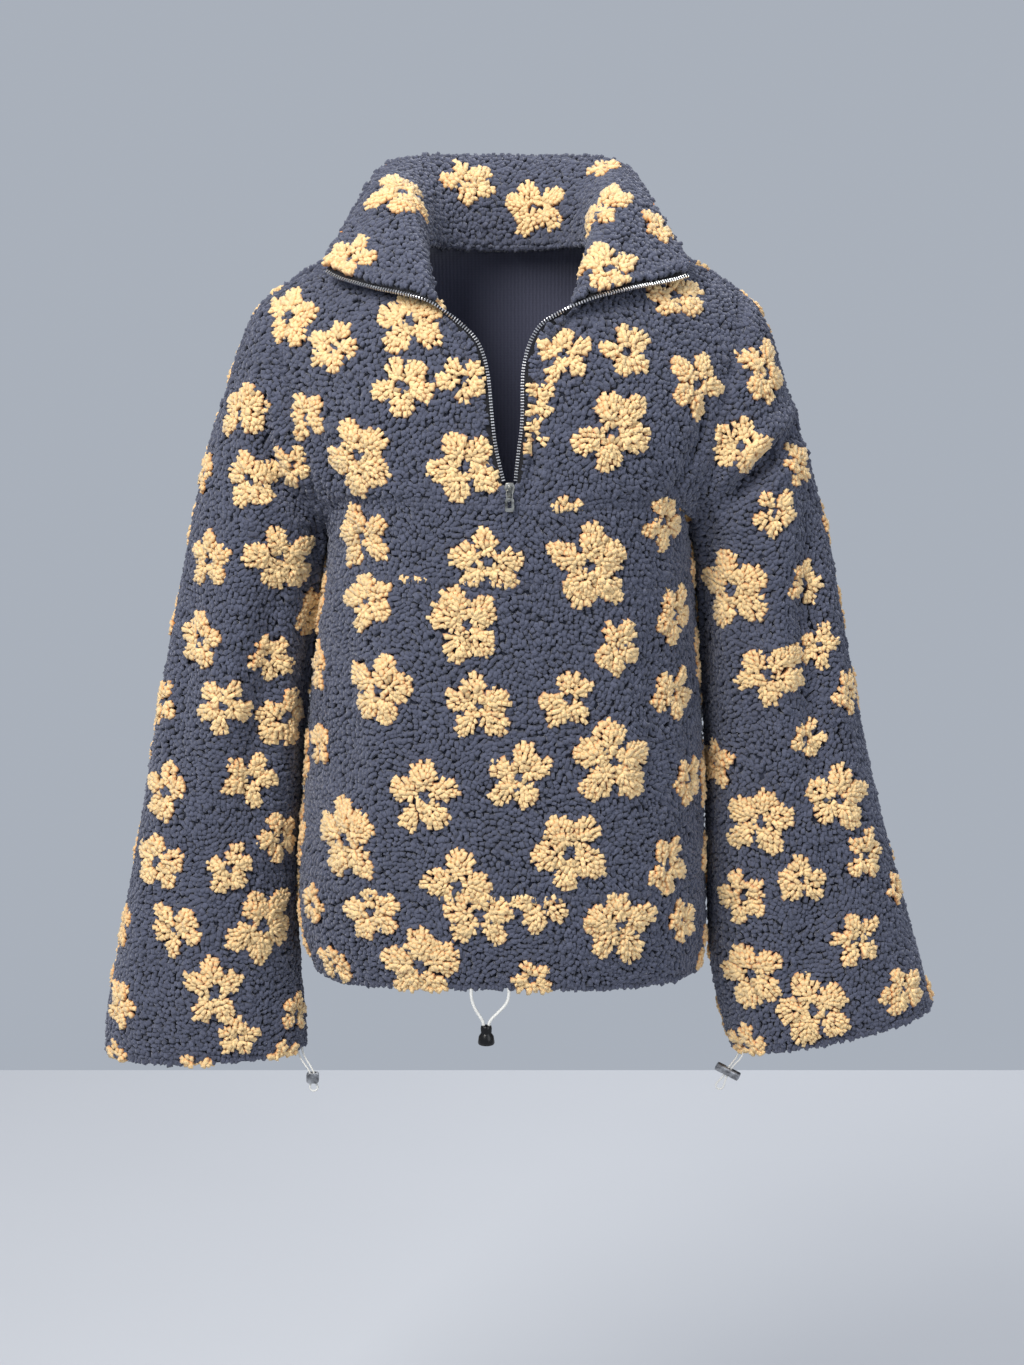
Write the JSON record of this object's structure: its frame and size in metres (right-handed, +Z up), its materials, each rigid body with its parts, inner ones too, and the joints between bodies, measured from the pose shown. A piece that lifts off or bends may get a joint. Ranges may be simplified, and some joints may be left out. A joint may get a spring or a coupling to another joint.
{
  "type": "half-zip sherpa fleece pullover",
  "caption": "Half-zip pullover in thick floral sherpa fleece with a rolled-open stand collar, dropped shoulders, wide sleeves and draw cords at hem and cuffs, in its hollow worn form.",
  "frame": {"origin": "middle of the neck base, level with the points where the collar meets the shoulders", "axes": "+Z up, front towards -Y, +X towards the wearer's left"},
  "size_m": [0.763, 0.2695, 0.8472],
  "materials": {
    "fleece": "matte sherpa pile, slate with cream flowers",
    "zip_tape": "matte woven",
    "zip_teeth": "satin",
    "slider_metal": "satin, darkened",
    "white_cord": "matte braided elastic",
    "black_lock": "gloss",
    "grey_lock": "gloss",
    "barrel_lock": "satin"
  },
  "bodies": {
    "garment": {"front_upper_left": "fleece", "front_upper_right": "fleece", "front_band": "fleece", "front_lower": "fleece", "hem_front": "fleece", "hem_back": "fleece", "back_panel": "fleece", "sleeve_left": "fleece", "sleeve_right": "fleece", "collar_facing": "fleece", "collar_outer": "fleece", "zip_tape_left": "zip_tape", "zip_tape_right": "zip_tape", "zip_teeth_left": "zip_teeth", "zip_teeth_right": "zip_teeth", "zip_bottom_stop": "zip_teeth", "zip_slider": "slider_metal", "hem_cord_left": "white_cord", "hem_cord_right": "white_cord", "hem_cord_lock": "black_lock", "cuff_cord_left": "white_cord", "cuff_cord_right": "white_cord", "cuff_lock_left": "grey_lock", "cuff_lock_right": "barrel_lock"},
    "pull_tab": {"zip_pull": "slider_metal"}
  },
  "joints": [
    {"name": "pull_swing", "type": "hinge", "parent": "garment", "child": "pull_tab", "pos_m": [0.0015, -0.1345, -0.186], "axis": [-1, 0, 0], "range_deg": [0, 165]}
  ]
}
